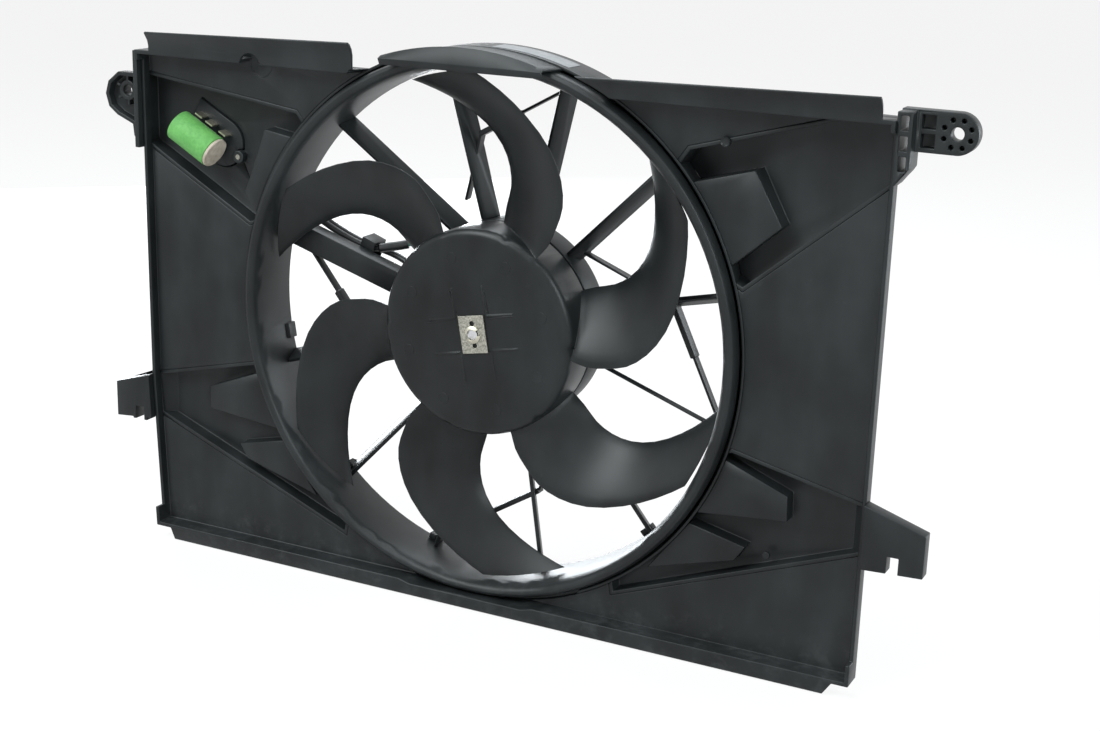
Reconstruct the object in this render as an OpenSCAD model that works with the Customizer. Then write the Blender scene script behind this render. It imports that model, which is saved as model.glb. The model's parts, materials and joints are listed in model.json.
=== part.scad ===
/* [Panel] */
// Width of the moulded panel over its two side walls
panel_w = 598; // [560:1:640]
// How far the left wall stands from the fan axis
panel_left = 297; // [280:1:320]
// Height of the panel's top wall above the fan axis
panel_top = 184; // [175:1:200]
// Depth of the panel's bottom wall below the fan axis
panel_bottom = 204; // [195:1:225]
// How far the side walls lean in over the panel's lowest part
corner_taper = 7; // [0:0.5:12]
// Depth of the tray from its front rim to its back face
tray_d = 18; // [14:0.5:26]
// Wall thickness of the panel and everything moulded with it
wall = 3; // [2:0.1:4]
// Front rim of the side walls behind the tray's front rim
side_rim_y = 8; // [0:0.5:11]
// Height of the curled flanges over the top wall at the panel's corners
strip_h = 15; // [6:0.5:20]
// Height of the turned-down lip under the bottom wall
lip_h = 9; // [4:0.5:14]

/* [Arms] */
// How far the lower arms rise behind the panel's back face
low_arm_rise = 12; // [6:0.5:16]
// How far the upper left arm rises behind the back face
left_arm_rise = 14; // [6:0.5:16]
// How far the upper right arm rises next to the ring
right_arm_rise = 18; // [10:0.5:20]
// How much the upper right arm falls towards its outer end
right_arm_fall = 9; // [0:0.5:12]

/* [Ring] */
// How far the barrel's outer wall stands out from its bore at the panel
ring_wall = 14.4; // [12:0.1:18]
// Inner radius of the barrel
bore_r = 192; // [191:0.1:196]
// How far the barrel's outer wall leans in towards its rim
ring_draft = 5.4; // [2:0.1:7]
// Depth of the barrel's rear rim behind the tray's front rim
rim_y = 53; // [48:0.5:60]
// Front of the rounded mouth behind the tray's front rim
mouth_y = 5.5; // [2:0.5:10]
// Number of ribs in the open cells at the top of the barrel
top_ribs = 12; // [6:1:16]
// Number of ribs in the open cells at the bottom of the barrel
bottom_ribs = 8; // [4:1:12]
// How thick the smooth sleeves lie over the rim
sleeve_t = 3.4; // [1.5:0.1:5]

/* [Fan] */
// Radius of the blade tips
tip_r = 189.5; // [180:0.5:190.5]
// Number of blades
blades = 6; // [5:1:9]
// Radius of the hub cup
hub_r = 77.5; // [70:0.5:80]
// Front face of the hub behind the tray's front rim
hub_y = 8.4; // [6:0.2:12]
// Depth of the hub cup
hub_d = 37.6; // [30:0.2:39]
// Wall thickness of the hub cup
hub_wall = 3.5; // [2.5:0.1:5]
// Largest thickness of a blade
blade_t = 3; // [2:0.1:5]
// Radius of the motor shaft
shaft_r = 4; // [3:0.1:6]
// Radial running clearance of the shaft in its bearings
run_gap = 0.03; // [0.02:0.01:0.08]

/* [Struts] */
// Depth of a strut along the fan axis
strut_d = 16; // [10:0.5:18]
// Thickness of a strut
strut_t = 3; // [2:0.1:4]
// Lean of the struts about their own length in degrees
strut_tilt = 25; // [0:1:35]
// Rear edge of the struts at the barrel
strut_foot_y = 53; // [50:0.5:56]
// Rear edge of the struts at the motor carrier
strut_root_y = 68; // [60:0.5:70]

/* [Motor carrier] */
// Outer radius of the carrier drum
drum_r = 77.3; // [74:0.1:80]
// Front edge of the drum
drum_y0 = 49; // [47.5:0.5:52]
// Rear rim of the drum
drum_y1 = 73; // [70:0.5:78]
// Inner radius of the drum's flat cover
cover_r = 52; // [50:0.5:56]
// Radius on which the motor's screws stand
lug_r = 61; // [58:0.5:64]

/* [Motor] */
// Outer radius of the motor can
can_r = 48; // [44:0.5:49]
// Front face of the motor can
can_y0 = 20; // [18:0.5:24]
// Rear face of the motor's end plate
plate_y = 86; // [80:0.5:90]
// Sheet thickness of the can and its end plate
sheet = 2; // [1.2:0.1:3]
// Number of armature slots
slots = 12; // [8:1:16]

/* [Mounts] */
// How far the left ear's hole stands out of the left wall
ear_l_out = 18; // [14:0.5:26]
// Height of the left ear's hole above the fan axis
ear_l_z = 150; // [140:0.5:160]
// How far the right ear's hole stands out of the right wall
ear_r_out = 36; // [30:0.5:44]
// Height of the right ear's hole above the fan axis
ear_r_z = 177.5; // [170:0.5:185]
// Radius of the holes in both ears
ear_hole_r = 4.3; // [3:0.1:6]
// Front face of the ears behind the tray's front rim
ear_y = 13; // [8:0.5:15]
// Thickness of the ears
ear_t = 10; // [6:0.5:12]
// Width of the slots in the lower hooks
hook_slot = 8; // [6:0.5:10]
// Depth of the slots in the lower hooks
hook_slot_h = 11; // [6:0.5:16]
// Radius of the hole in the tab on the top wall
tab_hole_r = 3.2; // [2:0.1:5]

/* [Resistor] */
// Radius of the ceramic resistor body
res_r = 12.5; // [8:0.5:14]
// Length of the ceramic resistor body
res_l = 37; // [30:0.5:44]
// Slope of the resistor unit in degrees
res_tilt = -29; // [-40:1:0]

/* [Hidden] */
panel_right = panel_w - panel_left;
ring_r = bore_r + ring_wall;
ear_l_x = panel_left + ear_l_out;
ear_r_x = panel_right + ear_r_out;
back_y = tray_d;
floor_y = tray_d - wall;
hook_y = 3;
mouth_r = bore_r + 11;
outline = [[-panel_left, panel_top], [-panel_left + 1, -80],
    [-panel_left + corner_taper, -panel_bottom], [panel_right, -panel_bottom],
    [panel_right, panel_top]];
low_y = back_y + low_arm_rise;
left_y = back_y + left_arm_rise;
right_y = back_y + right_arm_rise;
low_arm = [[-201, -53.5], [0.98 - panel_left, -76], [2.53 - panel_left, -112], [-114, -183],
    [-100, -100]];
right_low_arm = [for (p = mirrored(low_arm)) [p[0] > 280 ? panel_right + 0.01 : p[0], p[1]]];
left_arm = [[-157, 148.5], [-panel_left - 4, 167.5], [-panel_left - 4, 110.5], [-202, 55.5],
    [-110, 90]];
right_arm = [[202, 57.5], [panel_right + 0.01, 141.5], [panel_right + 0.01, panel_top + 0.01],
    [268, panel_top + 0.01], [157, 152.5], [120, 100]];
left_pocket = [[-197, 96], [-203, 82], [-192, 66], [-150, 100], [-160, 124], [-185, 128]];
low_pocket_a = [[-195, -65], [-241, -83], [-241.5, -96.5], [-180, -102]];
low_pocket_b = [[-174, -117.5], [-210.5, -126], [-206, -133], [-150, -149]];
right_pocket = [[166, 126.5], [194, 79.5], [223, 105.3], [204.5, 137.3]];
rim_r = ring_r - ring_draft;
top_cell = [64, 113];
cell_r = bore_r + 3;
// Angle of each strut at its foot and at its root
strut_angles = [[72.5, 69.3], [101, 99], [133, 118], [-165, -167], [-133.5, -136], [-106, -108],
    [-78, -80], [-47.6, -50], [-17, -19], [13, 11], [43.4, 43]];
channel_angles = [164.5, 172.5];
// Ends of each brace as radius and angle, foot, middle and root
brace_runs = [[[191, 72.5], [141, 98.5], [95, 112.2]], [[182, 165.3], [127, -168], [77, -137.6]],
    [[189.6, -106.2], [133, -75], [85, -48.8]], [[191, -16.6], [141, 13.5], [86, 43]]];
// Radius, angles and depths of the blade's front and rear edges
blade_rows = [[hub_r - 1.5, -7.2, 27, 14, 44], [90, -8, 26, 13.8, 43.4], [105, -6, 24.5, 13.6, 42.4],
    [120, -3.5, 25.5, 13.5, 41.2], [135, 1.5, 28.5, 13.6, 39.8], [150, 8.5, 33.5, 13.8, 38],
    [165, 17.5, 40, 14.2, 36], [178, 25.5, 46, 14.8, 34.2], [tip_r, 32.5, 51.2, 15.4, 32.6]];
blade_steps = 11;
boss_r = 11;
lug_angles = [93, -27, -147];
window_angles = [88, -32, -152];
lug_y = drum_y1 - 11;
vent_angles = [93, 137, 170, -140, -94, -65, -22, 21, 51];
plug_angle = 160.8;
plug_r = 66;
res_u = -9.3;
res_v = -4.4;
res_y = 13.5;
base_t = 3.2;
base_x = -240;
base_z = 118;
// Routes of the wires, point by point
green_run_a = [[-76, 82, 41.4], [-82, 82, 43], [-90, 81, 43.5], [-97, 78, 42.5]];
sleeve_run = [[-97.3, 77.8, 42.5], [-104, 74.6, 41], [-111, 70.8, 39.8], [-117, 68, 38.7]];
black_run_a = [[-117.6, 67.85, 38.7], [-126, 66.6, 38.4], [-140, 64.4, 43], [-156, 61, 51],
    [-172, 57.5, 60], [-188, 53, 68.5], [-202, 48, 74], [-213, 43, 80], [-217, 41, 89], [-210, 41, 98],
    [-199.5, 41, 101.8]];
black_run_b = [[-84, 77, 23], [-92, 76, 26], [-104, 76.5, 31], [-112, 75.5, 34], [-120, 73.4, 36.6],
    [-126, 72.4, 38.4], [-140, 70, 43], [-156, 66.8, 51], [-172, 63.3, 60], [-188, 58.8, 68.5],
    [-203, 53.8, 73], [-216, 48.8, 79], [-226, 46.8, 87], [-235, 46, 95], [-240.6, 45.5, 101.3]];
green_run_b = [[-231.8, 42, 104.2], [-222, 43, 107], [-208, 43.5, 110], [-194, 43.5, 112],
    [-187, 43.5, 112.3], [-184.5, 43.5, 109.5], [-187, 43, 106], [-198.6, 41.2, 102.2]];

// Moves the fan-centred model so that the left ear's hole is the origin
module placed() translate([ear_l_x, -ear_y, -ear_l_z]) children();

// Extrudes an outline drawn in X and Z from depth y0 to depth y1
module slab(y0, y1) translate([0, y1, 0]) rotate([90, 0, 0]) linear_extrude(y1 - y0) children();

// Revolves a profile of radius and depth about the fan axis
module turned() rotate([-90, 0, 0]) rotate_extrude() children();

// Revolves a profile from angle a to angle b
module arc_turned(a, b) rotate([-90, 0, 0]) rotate([0, 0, -b]) rotate_extrude(angle = b - a) children();

// Turns its children about the fan axis to the angle t
module at(t) rotate([0, -t, 0]) children();

// A round bar along the fan axis
module bar(r, y0, y1) translate([0, y0, 0]) rotate([-90, 0, 0]) cylinder(r = r, h = y1 - y0);

module bar_at(p, r, y0, y1) translate([p[0], 0, p[1]]) bar(r, y0, y1);

module box_at(x0, x1, y0, y1, z0, z1) translate([x0, y0, z0]) cube([x1 - x0, y1 - y0, z1 - z0]);

function polar(r, t) = [r * cos(t), r * sin(t)];

// Moves every edge of a counterclockwise outline inwards by t
function inset(p, t) = [for (i = [0 : len(p) - 1])
    let (a = p[(i + len(p) - 1) % len(p)], b = p[i], c = p[(i + 1) % len(p)],
        u = (b - a) / norm(b - a), v = (c - b) / norm(c - b), m = [-u[1], u[0]], n = [-v[1], v[0]])
    b + t * (m + n) / (1 + m * n)];

function mirrored(p) = [for (i = [len(p) - 1 : -1 : 0]) [panel_right - panel_left - p[i][0] - 4, p[i][1]]];

// Solid cone of the barrel's outer surface, long enough to cut with
module ring_cone() turned() polygon([[0, -40], [cone_r(-40), -40], [cone_r(90), 90], [0, 90]]);

function cone_r(y) = ring_r - ring_draft * (y - back_y) / (rim_y - back_y);

// The room that the barrel takes in the panel, whose bottom wall runs on below the mouth
module ring_seat() difference() {
    ring_cone();
    box_at(-120, 120, -50, back_y + 1, -260, -mouth_r - 0.6);
}

module panel_shape() polygon(outline);

module shroud_panel() color("#26282b") difference() {
    union() {
        difference() {
            union() {
                slab(0, back_y) panel_shape();
                flange(14 - panel_left, -100, panel_top + strip_h, panel_top + strip_h + 5);
                flange(60, panel_right - 9, panel_top + strip_h - 5, panel_top + strip_h);
            }
            slab(-1, floor_y) polygon(inset(outline, wall));
        }
        slab(0, back_y) polygon([[-76, -panel_bottom + 1], [-76, -panel_bottom - wall],
            [80, -panel_bottom - wall], [80, -panel_bottom + 1]]);
        slab(0, wall) polygon([[panel_right - 12, -panel_bottom], [21 - panel_left, -panel_bottom],
            [25 - panel_left, -panel_bottom - lip_h], [panel_right - 18, -panel_bottom - lip_h]]);
        top_tab();
        bar_at([-212, -110], 8.5, back_y, back_y + 0.8);
        bar_at([218, -109], 8.5, back_y, back_y + 0.8);
    }
    ring_seat();
    for (p = arm_outlines()) slab(floor_y, back_y + 1) polygon(p);
    box_at(-panel_left - 1, 12 - panel_left, -1, side_rim_y, 16 - panel_bottom, panel_top - 8);
    box_at(panel_right - 6, panel_right + 1, -1, side_rim_y, 16 - panel_bottom, panel_top - 8);
    bar_at([-190, 182.5], tab_hole_r, floor_y - 20, back_y + 20);
    bar_at([-189, 179.5], 9.5, -1, floor_y + 1);
}

// A flange on the top wall from x0 to x1 that curls forward; its top runs from z0 to z1
module flange(x0, x1, z0, z1) multmatrix([[1, 0, 0, x0], [0, 1, 0, 0],
    [(z1 - z0) / (x1 - x0), 0, 1, z0 - panel_top], [0, 0, 0, 1]])
    rotate([90, 0, 90]) linear_extrude(x1 - x0)
        polygon([[wall, panel_top - 28], [wall, panel_top - 10], [1.8, panel_top - 5.5],
            [-0.8, panel_top - 1.8], [-3.6, panel_top], [-5, panel_top - 1], [-3.6, panel_top - 3.2],
            [-1.2, panel_top - 6.8], [0, panel_top - 11], [0, panel_top - 28]]);

function arm_outlines() = [low_arm, right_low_arm, left_arm, right_arm];

// Raised tab with a hole on the back of the top wall
module top_tab() slab(floor_y, back_y + 4) polygon([[-182, 168], [-179, 176], [-180, 195],
    [-183, 198], [-200, 197], [-213, 181], [-200, 169]]);

// A raised hollow arm, open to the front and closed behind
module arm_shell(p, y1) difference() {
    slab(floor_y, y1) polygon(p);
    slab(floor_y - 1, y1 - wall) polygon(inset(p, wall));
}

// A pocket sunk into an arm down to the panel's level
module pocket_wall(p, y1) slab(floor_y, y1) polygon(inset(p, -wall));

module pocket_cut(p, y1) slab(back_y, y1 + 1) polygon(p);

// The room beyond the sloped outer end of the left lower arm, moved inwards by t
module end_cut(t) multmatrix([[1, 2 / 3, 0, -2 / 3 * back_y], [0, 1, 0, 0], [0, 0, 1, 0]])
    translate([t - panel_left - 38, floor_y - 2, -200]) cube([40, 30, 200]);

module end_cuts(t) {
    end_cut(t);
    translate([panel_right - panel_left, 0, 0]) mirror([1, 0, 0]) end_cut(t);
}

// A lower arm with its two pockets
module low_support(p, pockets) difference() {
    union() {
        difference() {
            slab(floor_y, low_y) polygon(p);
            difference() {
                slab(floor_y - 1, low_y - wall) polygon(inset(p, wall));
                end_cuts(1.2 * wall);
            }
        }
        for (q = pockets) pocket_wall(q, low_y);
    }
    end_cuts(0);
    for (q = pockets) pocket_cut(q, low_y);
}

// The plane that the upper right arm falls away along
module fall_cut(drop) multmatrix([[1, 0, 0, 0], [-right_arm_fall / 90, 1, 0, 0], [0, 0, 1, 0]])
    translate([0, right_y + right_arm_fall * 200 / 90 - drop, 0]) cube([400, 60, 300]);

module right_support() difference() {
    union() {
        difference() {
            slab(floor_y, right_y + wall) polygon(right_arm);
            difference() {
                slab(floor_y - 1, right_y + wall) polygon(inset(right_arm, wall));
                fall_cut(wall);
            }
        }
        slab(floor_y, right_y) polygon(inset(right_pocket, -wall));
    }
    fall_cut(0);
    pocket_cut(right_pocket, right_y + wall);
}

module unit_at() translate([base_x, 0, base_z]) rotate([0, -res_tilt, 0]) children();

module support_arms() color("#2b2d30") difference() {
    union() {
        low_support(low_arm, [low_pocket_a, low_pocket_b]);
        low_support(right_low_arm, [mirrored(low_pocket_a), mirrored(low_pocket_b)]);
        difference() {
            union() {
                arm_shell(left_arm, left_y);
                pocket_wall(left_pocket, left_y);
            }
            pocket_cut(left_pocket, left_y);
            unit_at() {
                box_at(-28, 6, floor_y - 1, left_y + 1, -19, 19);
                bar_at([6, 0], 19, floor_y - 1, left_y + 1);
            }
        }
        unit_at() bar_at([25, 0], 5, left_y - 9, left_y - 0.4);
        right_support();
    }
    ring_cone();
    unit_at() bar_at([25, 0], 2, floor_y, left_y + 1);
}

// The left ear, its lattice open to the front
module left_ear() color("#2e3033") difference() {
    union() {
        slab(ear_y + ear_t - wall, ear_y + ear_t) polygon(left_ear_outline());
        difference() {
            slab(ear_y, ear_y + ear_t) polygon(left_ear_outline());
            slab(ear_y - 1, ear_y + ear_t) polygon(inset(left_ear_outline(), wall));
        }
        bar_at([-ear_l_x, ear_l_z], ear_hole_r + 3.4, ear_y, ear_y + ear_t);
        for (t = [25, 90, 155, 215, 275, 330]) translate([-ear_l_x, 0, ear_l_z]) at(t)
            box_at(ear_hole_r + 2, ear_hole_r + 7, ear_y, ear_y + ear_t, -0.9, 0.9);
        box_at(-panel_left - 4, -panel_left, 3, floor_y, 108, panel_top - 1);
    }
    bar_at([-ear_l_x, ear_l_z], ear_hole_r, ear_y - 1, ear_y + ear_t + 1);
    slab(-1, 40) panel_shape();
    box_at(-panel_left - 4, -panel_left + 9, floor_y, 40, 100, 180);
}

function left_ear_outline() = [for (p = [[25, 14], [-9, 14], [-19, 6], [-22, -4], [-19, -14],
    [-11, -20], [4, -26], [5, -35], [11, -42], [25, -42]]) p + [-ear_l_x, ear_l_z]];

// The right ear, with a ring of small pockets round its hole
module right_ear() color("#2e3033") difference() {
    union() {
        slab(ear_y, ear_y + ear_t) {
            polygon([[panel_right - 9, ear_r_z - 13.5], [ear_r_x, ear_r_z - 13.5],
                [ear_r_x, ear_r_z + 13.5], [panel_right - 9, ear_r_z + 13.5]]);
            translate([ear_r_x, ear_r_z]) circle(r = 13.5);
        }
        slab(3, ear_y + ear_t) polygon([[panel_right - 9, panel_top - 44], [panel_right + 1, panel_top - 42],
            [panel_right + 10, panel_top - 30], [panel_right + 10, panel_top + 6],
            [panel_right - 9, panel_top + 6]]);
    }
    bar_at([ear_r_x, ear_r_z], ear_hole_r, ear_y - 1, ear_y + ear_t + 1);
    for (k = [0 : 7]) translate([ear_r_x, 0, ear_r_z]) at(45 * k + 22.5)
        bar_at([9.2, 0], 1.6, ear_y - 1, ear_y + ear_t - wall);
    for (z = [-10.5, 1.5]) box_at(ear_r_x - 23, ear_r_x - 14, ear_y - 1, ear_y + ear_t - wall,
        ear_r_z + z, ear_r_z + z + 9);
    for (z = [32, 19, 6]) box_at(panel_right + 2.5, panel_right + 7.5, 0, 40, panel_top - z,
        panel_top - z + 9.5);
    box_at(panel_right - 20, panel_right + 0.02, -1, 40, 100, 200);
}

// Hooks with an open slot that hang the lower edge
module lower_hooks() color("#2e3033") difference() {
    union() {
        hook([[4 - panel_left, -76], [-panel_left - 32, -87], [-panel_left - 32, -116],
            [4 - panel_left, -113]], -panel_left - 9);
        hook([[panel_right - 3, -71], [panel_right - 3, -118], [panel_right + 43, -116],
            [panel_right + 43, -86]], panel_right + 22);
    }
    slab(-5, 40) panel_shape();
}

// One hook: a flat shell, open to the rear, with a walled slot at xs
module hook(p, xs) difference() {
    union() {
        slab(hook_y, hook_y + wall) polygon(p);
        difference() {
            slab(hook_y, hook_y + 11) polygon(p);
            slab(hook_y - 1, hook_y + 12) polygon(inset(p, wall));
        }
        box_at(xs - hook_slot / 2 - wall, xs + hook_slot / 2 + wall, hook_y, hook_y + 11,
            -116, -116 + hook_slot_h + wall);
    }
    box_at(xs - hook_slot / 2, xs + hook_slot / 2, hook_y - 1, hook_y + 12, -140, -116 + hook_slot_h);
}

// Cross-section of the barrel: inner wall, rolled mouth, open groove, outer wall and closed rim
module ring_profile() polygon([[bore_r, rim_y], [bore_r, 16], [bore_r + 0.6, 11.5], [bore_r + 2.2, 8.2],
    [bore_r + 4.6, 6.2], [bore_r + 7, mouth_y], [bore_r + 9.2, 6.6], [bore_r + 10.6, 9],
    [mouth_r, 12], [mouth_r, floor_y + 1], [bore_r + 4, floor_y + 4], [bore_r + 2.5, floor_y + 7],
    [bore_r + 2.5, rim_y - wall], [rim_r - wall + 0.3, rim_y - wall],
    [cone_r(floor_y + 6) - wall, floor_y + 6], [cone_r(floor_y) - 2, floor_y],
    [cone_r(floor_y), floor_y], [cone_r(rim_y - 1.5), rim_y - 1.5], [rim_r - 1.5, rim_y]]);

// Space between the barrel's walls, opened to the rear over the ribbed cells
module cell_space(a, b) arc_turned(a, b) polygon([[bore_r + 2.9, rim_y - wall - 1],
    [bore_r + 2.9, rim_y + 1], [rim_r - 2.4, rim_y + 1], [rim_r - 2.4, rim_y - wall - 1]]);

// Ribs across the open cells
module cell_ribs(a, b, n) for (k = [1 : n]) at(a + (b - a) * k / (n + 1)) rotate([0, 24, 0])
    translate([bore_r * cos(24), 0, bore_r * sin(24)]) box_at(-4, 22, floor_y + 9, rim_y - 0.8, -0.7, 0.7);

module ring_wall_band() turned() polygon([[bore_r + 1, floor_y + 8], [bore_r + 1, rim_y - 0.6],
    [rim_r - 1, rim_y - 0.6], [cone_r(floor_y + 8) - 1, floor_y + 8]]);

// A smooth sleeve laid over the rim from angle a to angle b
module sleeve(a, b, y0, t) arc_turned(a, b) polygon([[cone_r(y0) - 1.3 + t / 9, y0], [cone_r(y0) + t, y0 + 2],
    [rim_r + t, rim_y - 3], [rim_r + t - 3, rim_y + 0.3 * t], [bore_r + 1 + t / 4, rim_y + 0.3 * t],
    [bore_r + 1 + t / 4, rim_y - 1 - t / 9], [rim_r - 1.6, rim_y - 1 - t / 9]]);

// Outline of the walled box of cells under the barrel
function cell_box() = [[-85, -170], [-76, -panel_bottom - wall], [80, -panel_bottom - wall], [94, -170]];

// The box, open to the rear, that replaces the barrel's outer wall at the bottom
module bottom_cells() color("#232528") difference() {
    union() {
        difference() {
            slab(back_y, rim_y - 14) polygon(cell_box());
            slab(back_y + wall, rim_y) polygon(inset(cell_box(), wall - 0.4));
        }
        for (k = [1 : bottom_ribs]) translate([-76 + 155 * k / (bottom_ribs + 1), 0, 0])
            box_at(-0.8, 0.8, back_y + 1, rim_y - 15, -panel_bottom - 1, -172);
    }
    bar(mouth_r + 0.3, 0, back_y + 0.5);
    bar(cell_r, 0, 90);
}

module fan_ring() color("#232528") difference() {
    union() {
        difference() {
            turned() ring_profile();
            cell_space(top_cell[0], top_cell[1]);
        }
        intersection() {
            cell_ribs(top_cell[0], top_cell[1], top_ribs);
            ring_wall_band();
        }
        arc_turned(top_cell[0] - 3, top_cell[1] + 3) polygon([[bore_r + 1.2, floor_y + 9.2],
            [cone_r(floor_y + 9) - 1.4, floor_y + 9.2], [cone_r(floor_y + 9) - 1.4, floor_y + 11.4],
            [bore_r + 1.2, floor_y + 11.4]]);
        sleeve(44, 63.4, 32, sleeve_t + 1.2);
        sleeve(113.6, 134.6, 30.5, sleeve_t + 1.2);
        sleeve(134, 155.8, 38, sleeve_t - 1.4);
        at(-170) box_at(bore_r - 3, bore_r + 1, rim_y - 9, rim_y, -6, 6);
    }
    at(160) box_at(bore_r - 10, rim_r + 10, rim_y - 7, rim_y + 9, -8, 8);
    difference() {
        slab(floor_y - 1, 90) polygon(cell_box());
        bar(mouth_r + 0.3, 0, back_y + 0.5);
        bar(cell_r, 0, 91);
    }
}

// Matrix that lays Z along a strut, X across its blade and Y along its depth
function strut_frame(a, b, tilt) = let (d = (b - a) / norm(b - a),
        y = [0, 1, 0] - d * d[1], v = y / norm(y), u = cross(v, d),
        p = cos(tilt) * u + sin(tilt) * v, q = cos(tilt) * v - sin(tilt) * u)
    [[p[0], q[0], d[0], a[0]], [p[1], q[1], d[1], a[1]], [p[2], q[2], d[2], a[2]], [0, 0, 0, 1]];

function spot(c, y) = [c[0] * cos(c[1]), y, c[0] * sin(c[1])];

// A flat vane from the point a to the point b on its rear edge
module vane(a, b, tilt, depth, t) multmatrix(strut_frame(a, b, tilt))
    translate([-t / 2, -depth, 0]) cube([t, depth, norm(b - a)]);

module strut(foot, root) vane(spot([drum_r - 6, root], strut_root_y + 0.8),
    spot([bore_r + 6, foot], strut_foot_y - 0.8), -strut_tilt, strut_d, strut_t);

// The strut that carries the harness, a channel open to the rear
module channel_strut(foot, root) {
    a = spot([drum_r - 6, root], strut_root_y);
    b = spot([bore_r + 6, foot], strut_foot_y);
    multmatrix(strut_frame(a, b, 0)) difference() {
        translate([-9, -strut_d + 2, 0]) cube([18, strut_d - 2, norm(b - a)]);
        translate([-9 + strut_t, -strut_d + 2 + strut_t, -1])
            cube([18 - 2 * strut_t, strut_d, norm(b - a) + 2]);
    }
}

// A thin brace from a strut's foot over the next strut to the root of the third
module brace(run) {
    vane(spot(run[1], strut_y(run[1][0]) - 1), spot(run[0], strut_y(run[0][0]) - 1), 0, 7, 2);
    vane(spot(run[2], strut_y(run[2][0]) - 1), spot(run[1], strut_y(run[1][0]) - 1), 0, 7, 2);
    vane(spot(run[1], strut_y(run[1][0]) - 0.5), spot(run[0], strut_y(run[0][0]) - 0.5) * 0.42
        + spot(run[1], strut_y(run[1][0]) - 0.5) * 0.58, 0, 9, 4);
}

function strut_y(r) = strut_root_y + (strut_foot_y - strut_root_y) * (r - drum_r) / (bore_r - drum_r);

module stator_struts() color("#2a2c2f") intersection() {
    union() {
        for (s = strut_angles) strut(s[0], s[1]);
        channel_strut(channel_angles[0], channel_angles[1]);
        for (run = brace_runs) brace(run);
        for (s = strut_angles) if (s[0] > -140 && s[0] < 50)
            at(s[0]) box_at(bore_r - 5, bore_r + 4, strut_foot_y - 7, strut_foot_y, -5, 5);
    }
    difference() {
        bar(bore_r, 0, 90);
        bar(drum_r, -1, 91);
    }
}

// The drum that carries the motor, with windows over its screws
module motor_carrier() color("#2a2c2f") difference() {
    union() {
        turned() polygon([[drum_r - wall, drum_y0], [drum_r, drum_y0], [drum_r, drum_y1 - 1],
            [drum_r - 1, drum_y1], [cover_r, drum_y1], [cover_r, drum_y1 - wall],
            [drum_r - wall, drum_y1 - wall]]);
        for (t = lug_angles) at(t) {
            bar_at([lug_r, 0], 6.5, drum_y0, lug_y);
            box_at(lug_r, drum_r - 1, drum_y0, lug_y, -2, 2);
        }
        for (k = [0 : 11]) at(30 * k + 10) box_at(cover_r + 2, drum_r - 1, drum_y1 - 8, drum_y1 - 1, -1, 1);
    }
    for (t = window_angles) arc_turned(t - 11, t + 11) polygon([[cover_r - 2, lug_y + 0.2],
        [drum_r - wall - 0.6, lug_y + 0.2], [drum_r - wall - 0.6, drum_y1 + 1],
        [cover_r - 2, drum_y1 + 1]]);
    for (t = lug_angles) at(t) bar_at([lug_r, 0], 2.4, lug_y - 8, lug_y + 1);
    at(-84) box_at(drum_r - 13, drum_r + 2, drum_y1 - 8, drum_y1 + 1, -9, 9);
}

// One blade, lofted over smooth rows of edge angles and depths
module blade() {
    n = 2 * blade_steps;
    edge_rows = smooth(blade_rows, 2);
    rows = len(edge_rows);
    points = [for (row = edge_rows) for (p = blade_section(row)) p];
    sides = [for (i = [0 : rows - 2]) for (j = [0 : n - 1])
        let (a = i * n + j, b = i * n + (j + 1) % n) each [[a, b, a + n], [b, b + n, a + n]]];
    polyhedron(points, concat(sides, [for (j = [1 : n - 2]) [0, j + 1, j]],
        [for (j = [1 : n - 2]) [(rows - 1) * n, (rows - 1) * n + j, (rows - 1) * n + j + 1]]));
}

// Points round one blade section, out along one face and back along the other
function blade_section(row) = let (r = row[0], t = blade_t * (1.15 - 0.45 * (r - hub_r) / (tip_r - hub_r)))
    [for (k = [0 : 2 * blade_steps - 1])
        let (back = k >= blade_steps, j = back ? 2 * blade_steps - 1 - k : k,
            u = j / (blade_steps - 1), half = t / 2 * (0.3 + 0.7 * sqrt(max(0, 1 - pow(2 * u - 1, 4)))),
            y = row[3] + (row[4] - row[3]) * (u + 0.3 * u * (u - 1)), a = row[1] + (row[2] - row[1]) * u)
        [r * cos(a), y + (back ? half : -half) * 1.15, r * sin(a)]];

module hub_cup() turned() polygon([[shaft_r, hub_y], [hub_r - 8, hub_y], [hub_r - 5, hub_y + 0.6],
    [hub_r - 2.2, hub_y + 2.4], [hub_r - 0.6, hub_y + 5], [hub_r, hub_y + 8], [hub_r, hub_y + hub_d],
    [hub_r - hub_wall, hub_y + hub_d], [hub_r - hub_wall, hub_y + 9], [hub_r - 8, hub_y + wall],
    [boss_r, hub_y + wall], [boss_r - 1, can_y0 - 2.5], [shaft_r, can_y0 - 2.5]]);

module fan() color("#1f2124") {
    hub_cup();
    for (k = [0 : blades - 1]) at(360 * k / blades) blade();
    for (k = [0 : 11]) at(30 * k) box_at(boss_r - 1, hub_r - hub_wall + 0.5, hub_y + wall - 0.5,
        hub_y + 6.5, -0.9, 0.9);
    difference() {
        at(11.5) for (s = [-1, 1]) {
            box_at(-35, 35, hub_y - 0.8, hub_y + 0.5, s * 12.75 - 0.7, s * 12.75 + 0.7);
            box_at(s * 12.75 - 0.7, s * 12.75 + 0.7, hub_y - 0.8, hub_y + 0.5, -35, 35);
        }
        bar(18.2, hub_y - 2, hub_y + 2);
    }
}

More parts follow.
